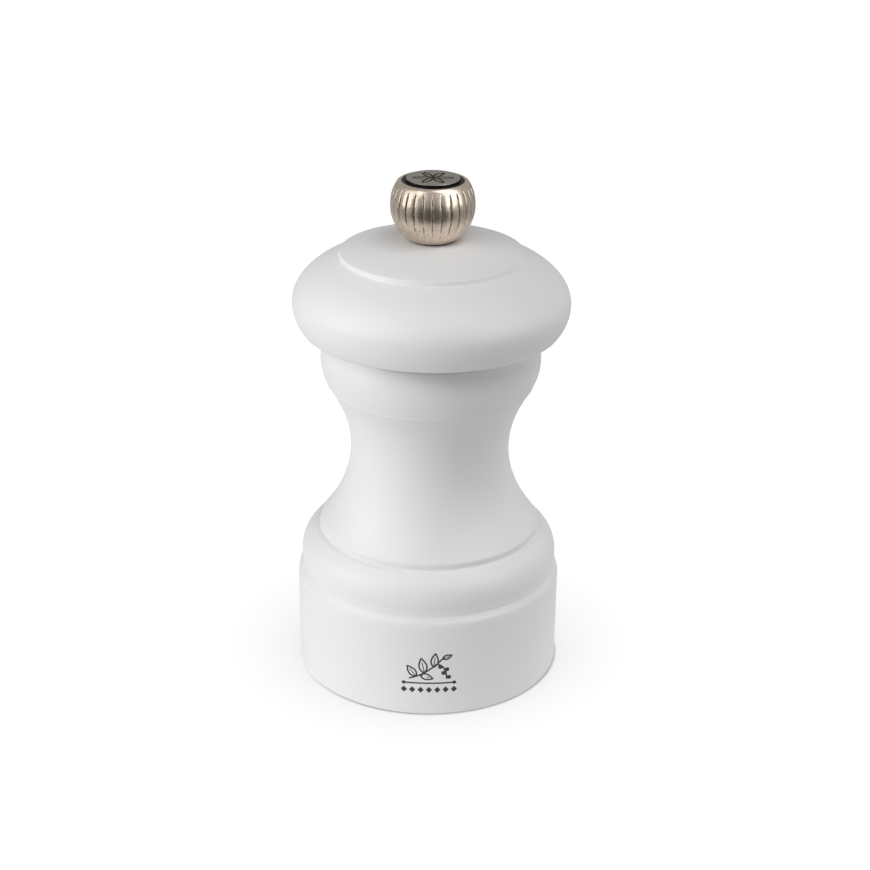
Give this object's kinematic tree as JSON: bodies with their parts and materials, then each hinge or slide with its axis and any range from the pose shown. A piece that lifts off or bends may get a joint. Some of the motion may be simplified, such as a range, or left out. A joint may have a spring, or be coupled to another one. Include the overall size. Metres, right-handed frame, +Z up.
{
  "type": "pepper mill",
  "caption": "Short turned pepper mill in white lacquered wood with a mushroom head, a fluted metal adjusting knob and a steel burr mechanism.",
  "frame": {"origin": "centre of the foot, on the plane the mill stands on", "axes": "+Z up along the turning axis, -Y towards the side that carries the printed mark"},
  "size_m": [0.0532, 0.0532, 0.1],
  "materials": {
    "body_lacquer": "satin white lacquer over turned beech",
    "head_lacquer": "satin white lacquer over turned beech",
    "knob_nickel": "antique nickel plate, fluted",
    "ring_black": "black inlay",
    "disc_nickel": "brushed antique nickel, engraved rosette",
    "insert_brass": "turned brass",
    "washer_steel": "zinc plated",
    "shaft_steel": "drawn square bar",
    "plate_steel": "stamped, zinc plated",
    "screw_steel": "zinc plated",
    "burr_steel": "case hardened, dark",
    "nut_steel": "zinc plated",
    "bracket_steel": "stamped, zinc plated",
    "spring_steel": "spring wire"
  },
  "bodies": {
    "base": {"body": "body_lacquer", "stator": "burr_steel", "guide_bracket": "bracket_steel", "fixing_plate": "plate_steel", "fixing_screw_1": "screw_steel", "fixing_screw_2": "screw_steel", "fixing_screw_3": "screw_steel"},
    "spring_carrier": {"spring_seat": "washer_steel", "spring": "spring_steel"},
    "spindle": {"drive_shaft": "shaft_steel", "rotor": "burr_steel", "rotor_washer": "washer_steel", "rotor_nut": "nut_steel", "shaft_stop_ring": "washer_steel"},
    "head_assembly": {"head": "head_lacquer", "driver_plate": "plate_steel", "driver_plate_screw_1": "screw_steel", "driver_plate_screw_2": "screw_steel", "driver_plate_screw_3": "screw_steel"},
    "knob_bearing": {"knob_washer": "washer_steel"},
    "knob_assembly": {"knob": "knob_nickel", "knob_insert": "insert_brass", "knob_ring": "ring_black", "knob_disc": "disc_nickel"}
  },
  "joints": [
    {"name": "head_turn", "type": "hinge", "parent": "base", "child": "spring_carrier", "pos_m": [0, 0, 0.0228], "axis": [0, 0, 1], "continuous": true},
    {"name": "grind_adjust", "type": "slide", "parent": "spring_carrier", "child": "spindle", "axis": [0, 0, 1], "range_m": [0, 0.0015], "deforming": ["spring"]},
    {"name": "head_lift", "type": "slide", "parent": "spring_carrier", "child": "head_assembly", "axis": [0, 0, 1], "range_m": [0, 0.045]},
    {"name": "knob_turn", "type": "hinge", "parent": "head_assembly", "child": "knob_bearing", "pos_m": [0, 0, 0.0885], "axis": [0, 0, 1], "range_deg": [-545, 0]},
    {"name": "knob_lift", "type": "slide", "parent": "knob_bearing", "child": "knob_assembly", "axis": [0, 0, 1], "range_m": [0, 0.015]}
  ],
  "couplings": [
    {"joint": "knob_turn", "follows": "grind_adjust", "rad_per_m": -6283.2}
  ]
}
